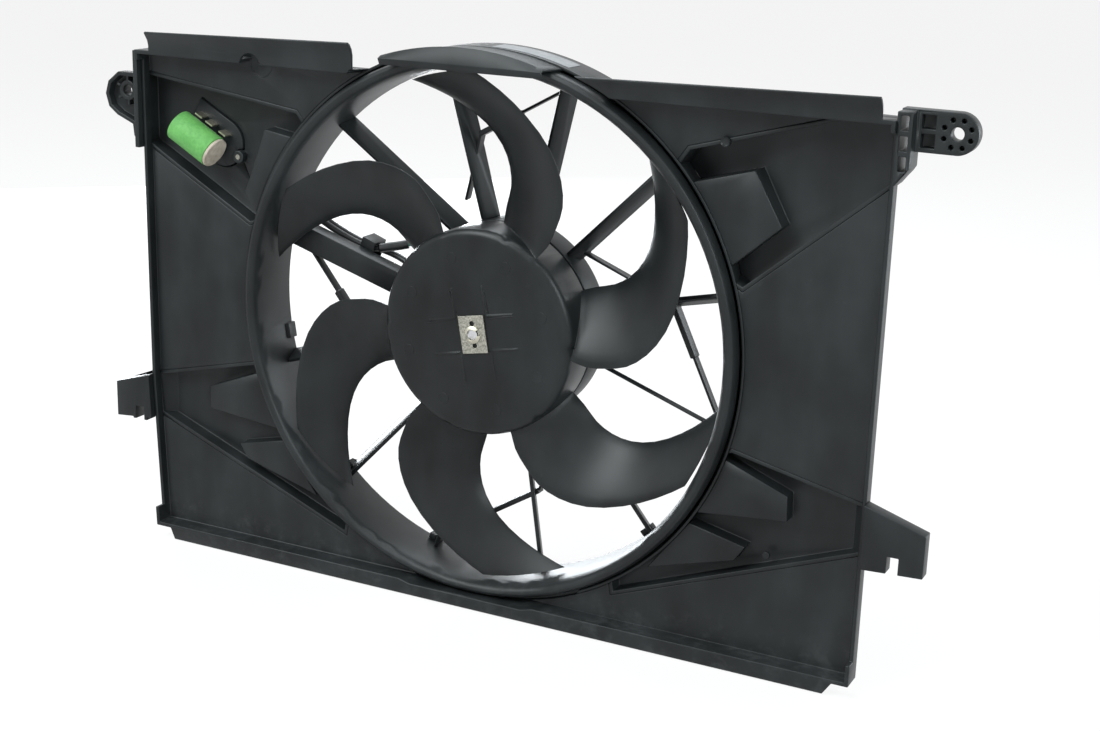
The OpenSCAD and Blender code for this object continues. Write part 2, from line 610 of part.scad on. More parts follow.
// Pressed clip that locks the hub on the shaft
module retaining_clip() color("#b9b4a4") at(10.5) difference() {
    union() {
        slab(hub_y - 1.2, hub_y) polygon([[-10.5, -14], [10.5, -14], [10.5, 14], [-10.5, 14]]);
        bar(6.4, hub_y - 3, hub_y - 1);
    }
    bar(shaft_r, hub_y - 5, hub_y + 1);
    for (s = [-1, 1]) bar_at([s * 6.5, s * 10], 1.3, hub_y - 5, hub_y + 1);
}

module motor_can() color("#3a3c3f") difference() {
    turned() polygon([[12, can_y0], [can_r - 4, can_y0], [can_r, can_y0 + 4], [can_r, plate_y - sheet],
        [can_r - sheet, plate_y - sheet], [can_r - sheet, can_y0 + 5], [can_r - 5, can_y0 + sheet],
        [12, can_y0 + sheet]]);
    for (k = [0 : 5]) at(60 * k + 20) bar_at([24, 0], 4.5, can_y0 - 1, can_y0 + 3);
}

// Sheet collar on the can with three lugs for the screws
module motor_flange() color("#3a3c3f") difference() {
    union() {
        bar(can_r + 3, lug_y, lug_y + 2.2);
        for (t = lug_angles) at(t) {
            bar_at([lug_r, 0], 6, lug_y, lug_y + 2.2);
            box_at(can_r - 2, lug_r, lug_y, lug_y + 2.2, -6, 6);
        }
    }
    bar(can_r, lug_y - 1, lug_y + 4);
    for (t = lug_angles) at(t) bar_at([lug_r, 0], 2.6, lug_y - 1, lug_y + 4);
}

// The motor's pierced rear end plate
module motor_end_plate() color("#303235") difference() {
    union() {
        turned() polygon([[9, plate_y - sheet], [can_r, plate_y - sheet], [can_r, plate_y - 1],
            [can_r - 1, plate_y], [24, plate_y], [23, plate_y + 1.4], [14, plate_y + 1.4],
            [13, plate_y + 4], [9, plate_y + 4]]);
    }
    for (t = vent_angles) at(t) bar_at([32, 0], 3.5, plate_y - 4, plate_y + 2);
    for (k = [0 : 5]) at(60 * k + 12) bar_at([18, 0], 1.5, plate_y - 4, plate_y + 3);
    for (t = [100, 123, 158, -128, -48, -8]) at(t) bar_at([44.5, 0], 1.7, plate_y - 4, plate_y + 2);
}

module motor_shaft() color("#c8cacc") union() {
    bar(shaft_r, hub_y - 2, plate_y + 2);
}

module armature_core() color("#8a8c8f") difference() {
    bar(36, 34, 68);
    bar(shaft_r, 33, 69);
    for (k = [0 : slots - 1]) at(360 * k / slots) box_at(22, 37, 33, 69, -2.2, 2.2);
}

module armature_windings() color("#a4582a") {
    for (y = [[27, 34], [68, 75]]) turned() polygon([[14, y[0]], [32, y[0] + 1.5], [32, y[1] - 1.5],
        [14, y[1]]]);
    for (k = [0 : slots - 1]) at(360 * k / slots) box_at(22.3, 31, 34, 68, -2, 2);
}

module commutator() color("#b87333") difference() {
    bar(11, 70, 80);
    bar(shaft_r, 69, 81);
    turned() polygon([[8, 69], [15, 69], [15, 76], [11.6, 76], [8, 75]]);
}

module magnets() color("#2b2b2d") for (k = [0 : 3]) arc_turned(90 * k + 8, 90 * k + 82)
    polygon([[can_r - sheet - 7, 28], [can_r - sheet, 28], [can_r - sheet, 74], [can_r - sheet - 7, 74]]);

module brush_card() color("#5a4a30") difference() {
    bar(can_r - sheet, plate_y - sheet - 2, plate_y - sheet);
    bar(14, 70, 90);
    for (t = vent_angles) at(t) bar_at([32, 0], 4.5, 70, 90);
}

module brushes() color("#1a1a1a") for (t = [115, -65]) at(t)
    box_at(11.2, 23, 77, plate_y - sheet - 2, -3, 3);

module bearing_ring(r0, r1, y0, y1) turned() polygon([[r0, y0], [r1 - 0.6, y0], [r1, y0 + 0.6],
    [r1, y1 - 0.6], [r1 - 0.6, y1], [r0, y1]]);

module front_bearing() color("#9fa2a6") bearing_ring(shaft_r + run_gap, 12, can_y0 - 1, can_y0 + 6);

module rear_bearing() color("#9fa2a6") bearing_ring(shaft_r + run_gap, 9, plate_y - 5.5, plate_y + 1.5);

module motor_screws() color("#8c8f93") for (t = lug_angles) at(t) {
    bar_at([lug_r, 0], 2.4, lug_y - 7, lug_y + 2.5);
    bar_at([lug_r, 0], 4.6, lug_y + 2.2, lug_y + 5);
}

// Points of a smooth curve through the points of a route
function smooth(p, n) = [for (i = [0 : len(p) - 2]) for (k = [0 : n - 1])
    let (a = p[max(i - 1, 0)], b = p[i], c = p[i + 1], d = p[min(i + 2, len(p) - 1)], t = k / n)
    b + 0.5 * t * ((c - a) + t * ((2 * a - 5 * b + 4 * c - d) + t * (3 * b - a - 3 * c + d))),
    p[len(p) - 1]];

// A round cord swept along a route
module cord(route, r, n = 8) {
    p = smooth(route, 3);
    m = len(p);
    points = [for (i = [0 : m - 1]) let (t = p[min(i + 1, m - 1)] - p[max(i - 1, 0)],
        u = cross(t, [0, 1, 0]) / norm(cross(t, [0, 1, 0])), v = cross(u, t) / norm(t))
        for (k = [0 : n - 1]) p[i] + r * (cos(360 * k / n) * u + sin(360 * k / n) * v)];
    sides = [for (i = [0 : m - 2]) for (k = [0 : n - 1])
        let (a = i * n + k, b = i * n + (k + 1) % n) each [[a, b, a + n], [b, b + n, a + n]]];
    caps = [for (k = [1 : n - 2]) each [[0, k + 1, k], [(m - 1) * n, (m - 1) * n + k,
        (m - 1) * n + k + 1]]];
    polyhedron(points, concat(sides, caps));
}

// The socket on the motor, beside its end plate
module motor_connector() color("#1d1e20") at(plug_angle) difference() {
    union() {
        box_at(can_r + 1, plug_r, drum_y1, plate_y, -19, 19);
        box_at(can_r + 4, plug_r - 3, plate_y - 1, plate_y + 3, -20.5, -14);
        box_at(can_r + 4, plug_r - 3, plate_y - 1, plate_y + 3, 14, 20.5);
        box_at(can_r + 6, plug_r, plate_y - 1, plate_y + 4, -7, 7);
    }
    box_at(can_r + 9, plug_r + 1, plate_y - 6, plate_y + 5, -4, 4);
    bar(can_r + 0.6, drum_y1 - 1, plate_y + 6);
}

// The plug that brings the wires to the motor
module harness_plug() color("#1a1b1d") at(plug_angle) difference() {
    union() {
        box_at(plug_r, plug_r + 19, drum_y1 + 1, plate_y - 1, -17, 17);
        translate([plug_r, drum_y1 + 9, -8]) rotate([0, 90, 0]) cylinder(r = 8.5, h = 19);
        translate([plug_r, drum_y1 + 9, 8]) rotate([0, 90, 0]) cylinder(r = 8.5, h = 19);
        box_at(plug_r + 13, plug_r + 17, drum_y1 + 1, plate_y + 2.5, -18.5, 18.5);
    }
    box_at(plug_r - 1, plug_r + 9, plate_y - 2, plate_y + 4, -3, 3);
}

module black_wires() color("#151617") {
    cord(black_run_a, 2.6);
    cord(black_run_b, 2.6);
}

module green_wires() color("#1fa482") {
    cord(green_run_a, 1.9);
    cord(green_run_b, 1.9);
}

module harness_sleeve() color("#191a1c") cord(sleeve_run, 3.6);

// Clip on the channel strut that holds the harness
module strut_clip() color("#202124") translate([-126, strut_y(131.6) + 0.8, 38]) rotate([0, 20, 0])
    difference() {
        box_at(-6, 6, 0, 16.5, -8, 8);
        box_at(-7, 7, 1, 15.2, -6, 6);
    }

// Rear socket of the resistor unit, its mouth towards the panel's corner
module resistor_socket() color("#1e1f21") unit_at() difference() {
    union() {
        box_at(-34, 12, left_y + base_t, left_y + base_t + 20, -13, 23);
        box_at(-34, -30.5, left_y + base_t, left_y + base_t + 22, -15.5, 25.5);
    }
    box_at(-35, -13, left_y + base_t + 2.5, left_y + base_t + 17.5, -10.5, 20.5);
}

// Plate over the opening in the arm, with a spigot in it and a cradle for the body
module resistor_base() color("#222326") unit_at() difference() {
    union() {
        slab(left_y, left_y + base_t) {
            polygon([[-24, -24], [16, -22], [17, -29], [34, -26], [46, 0], [44, 28], [10, 30], [-24, 27]]);
            translate([-22, 1.5]) circle(r = 25.5);
        }
        box_at(-27.6, 6, left_y - 5, left_y, -18.6, 18.6);
        bar_at([6, 0], 18.6, left_y - 5, left_y + 1);
        difference() {
            box_at(res_u - res_l / 2 + 2, res_u + res_l / 2 - 2, res_y + 4, left_y - 4, res_v - 7, res_v + 7);
            across(res_u - res_l, res_u + res_l, res_r);
        }
    }
    bar_at([25, 0], 2, left_y - 6, left_y + base_t + 1);
    bar_at([25, 0], 5.4, left_y - 10, left_y);
}

module across(u0, u1, r) translate([u0, res_y, res_v]) rotate([0, 90, 0]) cylinder(r = r, h = u1 - u0);

module resistor_body() color("#4f8f4a") unit_at()
    across(res_u - res_l / 2, res_u + res_l / 2, res_r);

// The body's bare ceramic end
module resistor_end_cap() color("#9a8d80") unit_at()
    across(res_u + res_l / 2, res_u + res_l / 2 + 2.5, res_r - 0.6);

// Contact strips that stand beside the body
module resistor_terminals() color("#b9b08a") unit_at() for (u = [-22, -11, 3])
    box_at(u, u + 7, left_y - 13, left_y - 5, res_v + res_r + 0.8, res_v + res_r + 2);

module resistor_screw() color("#c9ccd0") unit_at() {
    bar_at([25, 0], 2, left_y - 9, left_y + base_t);
    bar_at([25, 0], 3.8, left_y + base_t, left_y + base_t + 2.4);
}

placed() shroud_panel();
placed() support_arms();
placed() left_ear();
placed() right_ear();
placed() lower_hooks();
placed() fan_ring();
placed() bottom_cells();
placed() stator_struts();
placed() motor_carrier();
placed() fan();
placed() retaining_clip();
placed() motor_can();
placed() motor_flange();
placed() motor_end_plate();
placed() motor_shaft();
placed() armature_core();
placed() armature_windings();
placed() commutator();
placed() magnets();
placed() brush_card();
placed() brushes();
placed() front_bearing();
placed() rear_bearing();
placed() motor_screws();
placed() motor_connector();
placed() harness_plug();
placed() black_wires();
placed() green_wires();
placed() harness_sleeve();
placed() strut_clip();
placed() resistor_socket();
placed() resistor_base();
placed() resistor_body();
placed() resistor_end_cap();
placed() resistor_terminals();
placed() resistor_screw();
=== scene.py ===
"""Radiator cooling fan: its looks, small fittings, wires, studio and camera round the CAD part."""

import bpy
import json
import math
from mathutils import Matrix, Vector


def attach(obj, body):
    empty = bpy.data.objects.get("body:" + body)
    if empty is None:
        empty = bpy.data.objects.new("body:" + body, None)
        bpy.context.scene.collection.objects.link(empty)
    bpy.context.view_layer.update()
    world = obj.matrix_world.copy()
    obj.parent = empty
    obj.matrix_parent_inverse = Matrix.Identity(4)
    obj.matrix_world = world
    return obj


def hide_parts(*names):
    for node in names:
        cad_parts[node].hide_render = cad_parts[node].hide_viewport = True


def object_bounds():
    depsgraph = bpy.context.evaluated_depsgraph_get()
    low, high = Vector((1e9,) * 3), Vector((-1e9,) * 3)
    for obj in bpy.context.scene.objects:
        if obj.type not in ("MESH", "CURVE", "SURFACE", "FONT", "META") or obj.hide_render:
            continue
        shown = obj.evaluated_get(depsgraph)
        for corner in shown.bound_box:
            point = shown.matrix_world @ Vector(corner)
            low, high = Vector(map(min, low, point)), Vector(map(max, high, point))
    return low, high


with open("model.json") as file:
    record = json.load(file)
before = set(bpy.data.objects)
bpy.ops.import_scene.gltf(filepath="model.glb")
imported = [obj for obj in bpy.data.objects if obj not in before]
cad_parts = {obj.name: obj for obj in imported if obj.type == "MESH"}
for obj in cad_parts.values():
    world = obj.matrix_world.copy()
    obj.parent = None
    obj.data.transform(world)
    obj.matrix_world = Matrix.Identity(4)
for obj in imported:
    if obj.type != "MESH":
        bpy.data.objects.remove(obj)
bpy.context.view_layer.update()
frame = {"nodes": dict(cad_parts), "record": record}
nodes = frame["nodes"]
bodies = frame["record"]["behaviour"]["bodies"]


# The camera looks at the radiator side of the fan from the right and from above, as in the left
# picture of the photograph. Its place and turn were solved from the lines of the panel and the ring.
# The whole scene is laid out in millimetres from the fan axis and the tray's front rim.
AXIS = Vector((0.315, -0.013, -0.150))


def at(x, y, z):
    """The place of a point given in millimetres from the fan axis and the tray's front rim."""
    return AXIS + Vector((x, y, z)) / 1000


lens = bpy.data.cameras.new("camera")
lens.lens = 57.5
lens.sensor_width = 36
camera = bpy.data.objects.new("camera", lens)
bpy.context.collection.objects.link(camera)
sight = Vector((-0.42308, 0.86236, -0.2781)).normalized()
level = sight.cross(Vector((-0.15073, 0.23566, 0.96008))).normalized()
camera.matrix_world = (Matrix.Translation(at(594.1, -1074.7, 335.5))
                       @ Matrix((level, level.cross(sight), -sight)).transposed().to_4x4())
bpy.context.scene.camera = camera
bpy.context.scene.view_settings.view_transform = "Standard"


# The wires run from the motor's plug along the open channel strut to the resistor unit.
# Each is stranded copper in a soft extruded jacket, black or green, held by a clip on the strut.
class Field:
    """A socket of a material's nodes that adds, multiplies and mixes like a number."""

    def __init__(self, tree, socket):
        self.tree = tree
        self.socket = socket

    def node(self, kind, settings=None, values=None, out=0):
        """Adds a node of a kind, with its settings first, then its inputs, and gives one output."""
        made = self.tree.nodes.new("ShaderNode" + kind)
        for key, value in (settings or {}).items():
            setattr(made, key, value)
        for key, value in (values or {}).items():
            if isinstance(value, Field):
                self.tree.links.new(value.socket, made.inputs[key])
            else:
                made.inputs[key].default_value = value
        return Field(self.tree, made.outputs[out])

    def number(self, operation, first, second=0.0):
        return self.node("Math", {"operation": operation}, {0: first, 1: second})

    def __add__(self, other):
        return self.number("ADD", self, other)

    def __rsub__(self, other):
        return self.number("SUBTRACT", other, self)

    def __mul__(self, other):
        return self.number("MULTIPLY", self, other)

    __radd__ = __add__
    __rmul__ = __mul__

    def step(self, low, high):
        """0 up to low, 1 from high on, and smooth between them."""
        return self.node("MapRange", {"interpolation_type": "SMOOTHSTEP"},
                         {"Value": self, "From Min": low, "From Max": high})

    def noise(self, scale, detail=3.0, rough=0.55, stretch=(1, 1, 1)):
        """Cloudy noise laid on these coordinates."""
        laid = self.node("Mapping", None, {"Vector": self, "Scale": stretch})
        return laid.node("TexNoise", None,
                         {"Vector": laid, "Scale": scale, "Detail": detail, "Roughness": rough})

    def part(self, axis):
        """One of the three numbers of these coordinates."""
        return self.node("SeparateXYZ", None, {0: self}, "XYZ".index(axis))

    def tint(self, low, high):
        """The colour low where this value is 0, and high where it is 1."""
        return self.node("Mix", {"data_type": "RGBA"}, {0: self, 6: low, 7: high}, 2)

    def relief(self, strength, depth):
        """A surface normal from this height."""
        return self.node("Bump", None, {"Height": self, "Strength": strength, "Distance": depth})


def finish(name, **constants):
    """A new material, its shader with plain values set, and its Object coordinates."""
    made = bpy.data.materials.new(name)
    made.use_nodes = True
    shader = made.node_tree.nodes["Principled BSDF"]
    for key, value in constants.items():
        shader.inputs[key.replace("_", " ")].default_value = value
    coordinates = made.node_tree.nodes.new("ShaderNodeTexCoord")
    return made, shader, Field(made.node_tree, coordinates.outputs["Object"])


def feed(shader, **fields):
    """Links what changes over the surface to the shader."""
    for key, value in fields.items():
        value.tree.links.new(value.socket, shader.inputs[key.replace("_", " ")])


def wear(piece, material, node):
    """Gives a piece its material and, unless it is the CAD node itself, hangs it on the empty of the
    node's body.
    """
    piece.data.materials.clear()
    piece.data.materials.append(material)
    if piece is not nodes[node]:
        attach(piece, "rotor" if node in bodies["rotor"] else "shroud")


def jacket(name, dark, light):
    """Soft extruded cable jacket, a little uneven in colour and gloss."""
    made, shader, p = finish(name, Specular_IOR_Level=0.45)
    cloud = p.noise(160, 3, 0.6)
    grime = p.noise(420, 5, 0.7).step(0.55, 0.8)
    feed(shader, Base_Color=(grime * 0.4).tint(cloud.tint(dark, light), (0.05, 0.05, 0.045, 1)),
         Roughness=0.34 + cloud * 0.16 + grime * 0.15, Normal=p.noise(900, 2).relief(0.25, 0.0002))
    return made


def smooth_run(points, steps=6):
    """Points of a smooth curve through the points of a route, in metres."""
    p = [at(*point) for point in points]
    line = []
    for i in range(len(p) - 1):
        a, b, c, d = p[max(i - 1, 0)], p[i], p[i + 1], p[min(i + 2, len(p) - 1)]
        for k in range(steps):
            t = k / steps
            line.append(b + 0.5 * t * ((c - a) + t * ((2 * a - 5 * b + 4 * c - d)
                                                      + t * (3 * b - a - 3 * c + d))))
    return line + [p[-1]]


def wire(name, points, radius, material, node):
    """One round wire along its route."""
    line = smooth_run(points)
    curve = bpy.data.curves.new(name, "CURVE")
    curve.dimensions = "3D"
    curve.bevel_depth = radius
    curve.bevel_resolution = 4
    curve.use_fill_caps = True
    spline = curve.splines.new("POLY")
    spline.points.add(len(line) - 1)
    for knot, place in zip(spline.points, line):
        knot.co = (*place, 1)
    spline.use_smooth = True
    piece = bpy.data.objects.new(name, curve)
    bpy.context.collection.objects.link(piece)
    wear(piece, material, node)
    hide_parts(node)
    return piece, line


def run_length(line):
    return sum((b - a).length for a, b in zip(line, line[1:]))


black_jacket = jacket("wire_black", (0.006, 0.0075, 0.008, 1), (0.012, 0.0145, 0.0155, 1))
green_jacket = jacket("wire_green", (0.0, 0.24, 0.155, 1), (0.01, 0.36, 0.25, 1))
BLACK_RUN_A = [(-117.6, 67.85, 38.7), (-126, 66.6, 38.4), (-140, 64.4, 43), (-156, 61, 51),
               (-170, 57.5, 60), (-180, 54.5, 66), (-192, 52, 66.5), (-206, 49.5, 63.5),
               (-218, 47.5, 62), (-225.5, 46.5, 67), (-225.5, 46, 75), (-219, 45.5, 83),
               (-212, 44.8, 90), (-205.7, 43.5, 96.1)]
BLACK_RUN_B = [(-84, 77, 23), (-92, 76, 26), (-104, 76.5, 31), (-112, 75.5, 34), (-120, 73.4, 36.6),
               (-126, 72.4, 38.4), (-140, 70, 43), (-156, 66.8, 51), (-170, 63, 60), (-181, 60, 66),
               (-193, 57.4, 66.5), (-206, 55, 63.5), (-217.5, 53, 61.8), (-225, 52, 66),
               (-224.5, 51.3, 74), (-217.5, 50.8, 82), (-209, 49.5, 88.5), (-200.5, 47.6, 93.5),
               (-194.5, 46.4, 100), (-190.5, 46, 108), (-191, 46, 116), (-196.5, 46, 121.8),
               (-204.5, 46, 123.6), (-213.4, 46, 123.1), (-221.5, 46, 121.4), (-230, 45.8, 118.6)]
GREEN_RUN_A = [(-76, 82, 41.4), (-82, 82, 43), (-90, 81, 43.5), (-97, 78, 42.5)]
GREEN_RUN_B = [(-238, 46, 106.5), (-230, 44.6, 104.8), (-220.1, 43.7, 104.9), (-206.3, 43.7, 107),
               (-196, 43.5, 108.6), (-190.8, 43.5, 108.6), (-188.6, 43.5, 106.4), (-190, 43.5, 103.7),
               (-194.6, 43.5, 101.4), (-199.8, 43.5, 99), (-205.7, 43.5, 96.1)]
SLEEVE_RUN = [(-97.3, 77.8, 42.5), (-104, 74.6, 41), (-111, 70.8, 39.8), (-117, 68, 38.7)]
for name, route in (("black_wire_upper", BLACK_RUN_A), ("black_wire_lower", BLACK_RUN_B)):
    piece, line = wire(name, route, 0.0026, black_jacket, "black_wires")
    run_length(line)
piece, line = wire("green_wire_loop", GREEN_RUN_B, 0.0019, green_jacket, "green_wires")
run_length(line)
wire("green_wire_short", GREEN_RUN_A, 0.0019, green_jacket, "green_wires")
wire("harness_sleeve_tube", SLEEVE_RUN, 0.0036, black_jacket, "harness_sleeve")


# The shroud panel is one large injection moulding in glass-filled black plastic: a shallow tray
# with curled flanges along its top. Its edges are slightly round from the mould, its faces carry
# a fine grain, cloudy flow marks and dust, and its lower corners are rubbed pale.
SHARP = math.radians(32)
SMOOTH = math.radians(38)
MERGED = 0.00002


def rounded(piece, width, segments=2):
    """Rounds a finished shape's sharp edges and shades it smooth."""
    rounding = piece.modifiers.new("rounding", "BEVEL")
    rounding.width = width
    rounding.segments = segments
    rounding.limit_method = "ANGLE"
    rounding.angle_limit = SHARP
    rounding.use_clamp_overlap = False
    bpy.ops.object.modifier_apply(modifier=rounding.name)
    bpy.ops.object.shade_smooth_by_angle(angle=SMOOTH)


def softened(node, width):
    """A copy of a CAD node's solid whose sharp edges are rounded as they leave the mould or press."""
    piece = bpy.data.objects.new(node + "_shape", nodes[node].data.copy())
    bpy.context.collection.objects.link(piece)
    bpy.ops.object.select_all(action="DESELECT")
    piece.select_set(True)
    bpy.context.view_layer.objects.active = piece
    bpy.ops.object.mode_set(mode="EDIT")
    bpy.ops.mesh.select_all(action="SELECT")
    bpy.ops.mesh.remove_doubles(threshold=MERGED)
    bpy.ops.mesh.tris_convert_to_quads(face_threshold=math.radians(0.5),
                                       shape_threshold=math.radians(180))
    bpy.ops.object.mode_set(mode="OBJECT")
    rounded(piece, width)
    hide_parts(node)
    return piece


def grey(value, blue=1.0):
    return (value, value * (1 + 0.15 * blue), value * (1 + 0.2 * blue), 1)


def moulded_plastic(name, dark, light, rough, grain=2400, worn=0.0):
    """Black moulded plastic: fine grain, flow marks, cloudy gloss, and a little dust."""
    made, shader, p = finish(name, Specular_IOR_Level=0.22)
    cloud = p.noise(9, 4, 0.6)
    flow = p.noise(38, 3, 0.5, (1, 1, 0.3))
    grit = p.noise(grain, 2, 0.6)
    dust = p.noise(150, 5, 0.7).step(0.6, 0.84) * cloud.step(0.35, 0.7)
    pale = dust * 0.4
    if worn:
        low = 1 - p.part("Z").step(-0.345, -0.325)
        scuff = p.noise(70, 6, 0.75).step(0.46, 0.74) * low * worn
        pale = pale + scuff
    colour = pale.tint((cloud * 0.6 + flow * 0.4).step(0.3, 0.72).tint(grey(dark), grey(light)),
                       grey(light * 2.6, 0.4))
    feed(shader, Base_Color=colour, Roughness=rough + cloud * 0.12 + grit * 0.06 + pale * 0.15,
         Normal=(grit * 0.5 + flow * 0.5).relief(0.2, 0.0004))
    return made


shroud_plastic = moulded_plastic("shroud_plastic", 0.0055, 0.018, 0.32, worn=0.45)
wear(softened("shroud_panel", 0.0007), shroud_plastic, "shroud_panel")

# The four hollow arms, the ears and the hooks are part of the same moulding. They stiffen the
# panel and hang it on the radiator: the ears take screws, the hooks drop over pegs.
for name, width in (("support_arms", 0.0008), ("left_ear", 0.0005), ("right_ear", 0.0006),
                    ("lower_hooks", 0.0006)):
    wear(softened(name, width), shroud_plastic, name)

# The panel's moulding carries round marks of the same plastic: flat witnesses of the ejector pins
# on the back, small pips at a lower corner, and a peg on the front near the upper right arm.
def pick(piece, chosen, kind="VERT"):
    """Selects what passes a test in edit mode, by its middle in millimetres from the fan axis."""
    bpy.ops.mesh.select_all(action="DESELECT")
    bpy.ops.mesh.select_mode(type=kind)
    bpy.ops.object.mode_set(mode="OBJECT")
    mesh = piece.data
    items = {"VERT": mesh.vertices, "EDGE": mesh.edges, "FACE": mesh.polygons}[kind]
    for item in items:
        ends = [item.index] if kind == "VERT" else list(item.vertices)
        middle = sum((mesh.vertices[i].co for i in ends), Vector()) / len(ends)
        item.select = chosen(*((piece.matrix_world @ middle - AXIS) * 1000))
    bpy.ops.object.mode_set(mode="EDIT")


def started(name):
    """Takes the new primitive, names it, lays its place into its mesh and opens it for editing."""
    piece = bpy.context.object
    piece.name = name
    bpy.ops.object.transform_apply(location=True, rotation=True, scale=True)
    bpy.ops.object.mode_set(mode="EDIT")
    return piece


def round_marks(name, places, radius, y0, y1, dish=0.35, rim=0.3):
    """Low round bosses along the fan axis, modelled once and copied to each place."""
    bpy.ops.object.select_all(action="DESELECT")
    x, z = places[0]
    bpy.ops.mesh.primitive_cylinder_add(vertices=32, radius=radius / 1000, depth=abs(y1 - y0) / 1000,
                                        location=at(x, (y0 + y1) / 2, z),
                                        rotation=(math.radians(90), 0, 0))
    first = started(name)
    pick(first, lambda a, b, c: abs(b - y1) < 0.01, "FACE")
    bpy.ops.mesh.inset(thickness=radius * rim / 1000)
    bpy.ops.transform.translate(value=(0, -dish / 1000 if y1 > y0 else dish / 1000, 0))
    bpy.ops.object.mode_set(mode="OBJECT")
    rounded(first, min(0.0002, abs(y1 - y0) / 4000), 1)
    copies = [first]
    for u, w in places[1:]:
        bpy.ops.object.select_all(action="DESELECT")
        first.select_set(True)
        bpy.context.view_layer.objects.active = first
        bpy.ops.object.duplicate(linked=False)
        copy = bpy.context.object
        bpy.ops.transform.translate(value=((u - x) / 1000, 0, (w - z) / 1000))
        bpy.ops.object.transform_apply(location=True, rotation=True, scale=True)
        copies.append(copy)
    bpy.ops.object.select_all(action="DESELECT")
    for copy in copies:
        copy.select_set(True)
    bpy.context.view_layer.objects.active = first
    if len(copies) > 1:
        bpy.ops.object.join()
    return first


wear(round_marks("ejector_marks", [(-226, -160), (-244, -160), (-277, -160), (242, -150), (-190, -185)],
                 5.5, 17.8, 18.35, 0.25), shroud_plastic, "shroud_panel")
wear(round_marks("corner_pips", [(249, -180), (183, -180), (230, -128)], 2.6, 17.8, 20.4, 0.8),
     shroud_plastic, "shroud_panel")
wear(round_marks("front_peg", [(184.5, 158)], 3.4, 15.4, 11.8, 1.2), shroud_plastic, "shroud_panel")

# The fan ring is the double-walled barrel that closes round the blade tips. Its top and bottom
# are open cells with thin ribs, and smooth sleeves lie over its rim.
for name, width in (("fan_ring", 0.0004), ("bottom_cells", 0.0004)):
    wear(softened(name, width), shroud_plastic, name)


# A hood closes the ring over the top of the radiator. It is moulded on the ring: a flat front
# face cut off straight below, and a smooth outer wall that runs back to the rear rim.
def with_walls(piece, thickness, round_edges):
    """Gives an open shell its wall and rounds the wall's edges."""
    bpy.ops.object.mode_set(mode="OBJECT")
    wall = piece.modifiers.new("wall", "SOLIDIFY")
    wall.thickness = thickness
    wall.offset = -1
    bpy.ops.object.modifier_apply(modifier=wall.name)
    rounded(piece, round_edges)


HOOD_FRONT = -4.7
HOOD_EDGE = 194.6
HOOD_SLOPE = 4.0
HOOD_BACK = 19.0
HOOD_R = 210.3
HOOD_CENTRE = (-10, -3.6)
RING_R = 206.3
WALL = 0.0022
bpy.ops.object.select_all(action="DESELECT")
bpy.ops.mesh.primitive_circle_add(vertices=240, radius=HOOD_R / 1000,
                                  location=at(HOOD_CENTRE[0], HOOD_FRONT + HOOD_SLOPE, HOOD_CENTRE[1]),
                                  rotation=(math.radians(90), 0, 0))
hood = started("ring_hood")
pick(hood, lambda x, y, z: z < HOOD_EDGE + 0.2)
bpy.ops.mesh.delete(type="VERT")
bpy.ops.mesh.select_all(action="SELECT")
to_ring = (-HOOD_CENTRE[0] / 1000, (HOOD_BACK - HOOD_FRONT - HOOD_SLOPE) / 1000, -HOOD_CENTRE[1] / 1000)
bpy.ops.mesh.extrude_region_move(TRANSFORM_OT_translate={"value": to_ring})
bpy.ops.transform.resize(value=(RING_R / HOOD_R, 1, RING_R / HOOD_R), center_override=at(0, HOOD_BACK, 0))
pick(hood, lambda x, y, z: y < HOOD_FRONT + HOOD_SLOPE + 0.5)
bpy.ops.mesh.extrude_region_move(TRANSFORM_OT_translate={"value": (0, 0, 0)})
bpy.ops.transform.resize(value=(1, 1, 0), center_override=at(0, HOOD_FRONT, HOOD_EDGE))
bpy.ops.transform.translate(value=(0, -HOOD_SLOPE / 1000, 0))
bpy.ops.mesh.extrude_region_move(TRANSFORM_OT_translate={"value": (0, 0.0025, -0.0048)})
bpy.ops.mesh.select_all(action="SELECT")
bpy.ops.mesh.remove_doubles(threshold=0.00005)
bpy.ops.mesh.normals_make_consistent(inside=False)
with_walls(hood, WALL, 0.0005)
wear(hood, shroud_plastic, "fan_ring")


# Behind the hood the ring's outer wall stands upright over the open cells, between the sleeves.
# It is moulded with the ring, and draws in a little at its rear rim.
def beyond(first, last):
    """A test for what lies outside a stretch of the ring, given as angles above the horizon."""
    return lambda x, y, z: z < 0 or not first < math.degrees(math.atan2(z, x)) < last


TOP_WALL_R = 0.2065
TOP_WALL_FRONT = 17
TOP_WALL_DEPTH = 0.03
RIM_DEPTH = 0.0057
RIM_REAR = 52.7
RIM_DRAWN_IN = 0.985
bpy.ops.object.select_all(action="DESELECT")
bpy.ops.mesh.primitive_circle_add(vertices=360, radius=TOP_WALL_R, location=at(0, TOP_WALL_FRONT, 0),
                                  rotation=(math.radians(90), 0, 0))
top_wall = started("ring_top_wall")
pick(top_wall, beyond(63, 115))
bpy.ops.mesh.delete(type="VERT")
bpy.ops.mesh.select_all(action="SELECT")
bpy.ops.mesh.extrude_region_move(TRANSFORM_OT_translate={"value": (0, TOP_WALL_DEPTH, 0)})
bpy.ops.mesh.extrude_region_move(TRANSFORM_OT_translate={"value": (0, RIM_DEPTH, 0)})
bpy.ops.transform.resize(value=(RIM_DRAWN_IN, 1, RIM_DRAWN_IN), center_override=at(0, RIM_REAR, 0))
bpy.ops.mesh.select_all(action="SELECT")
bpy.ops.mesh.normals_make_consistent(inside=False)
with_walls(top_wall, WALL, 0.0004)
wear(top_wall, shroud_plastic, "fan_ring")

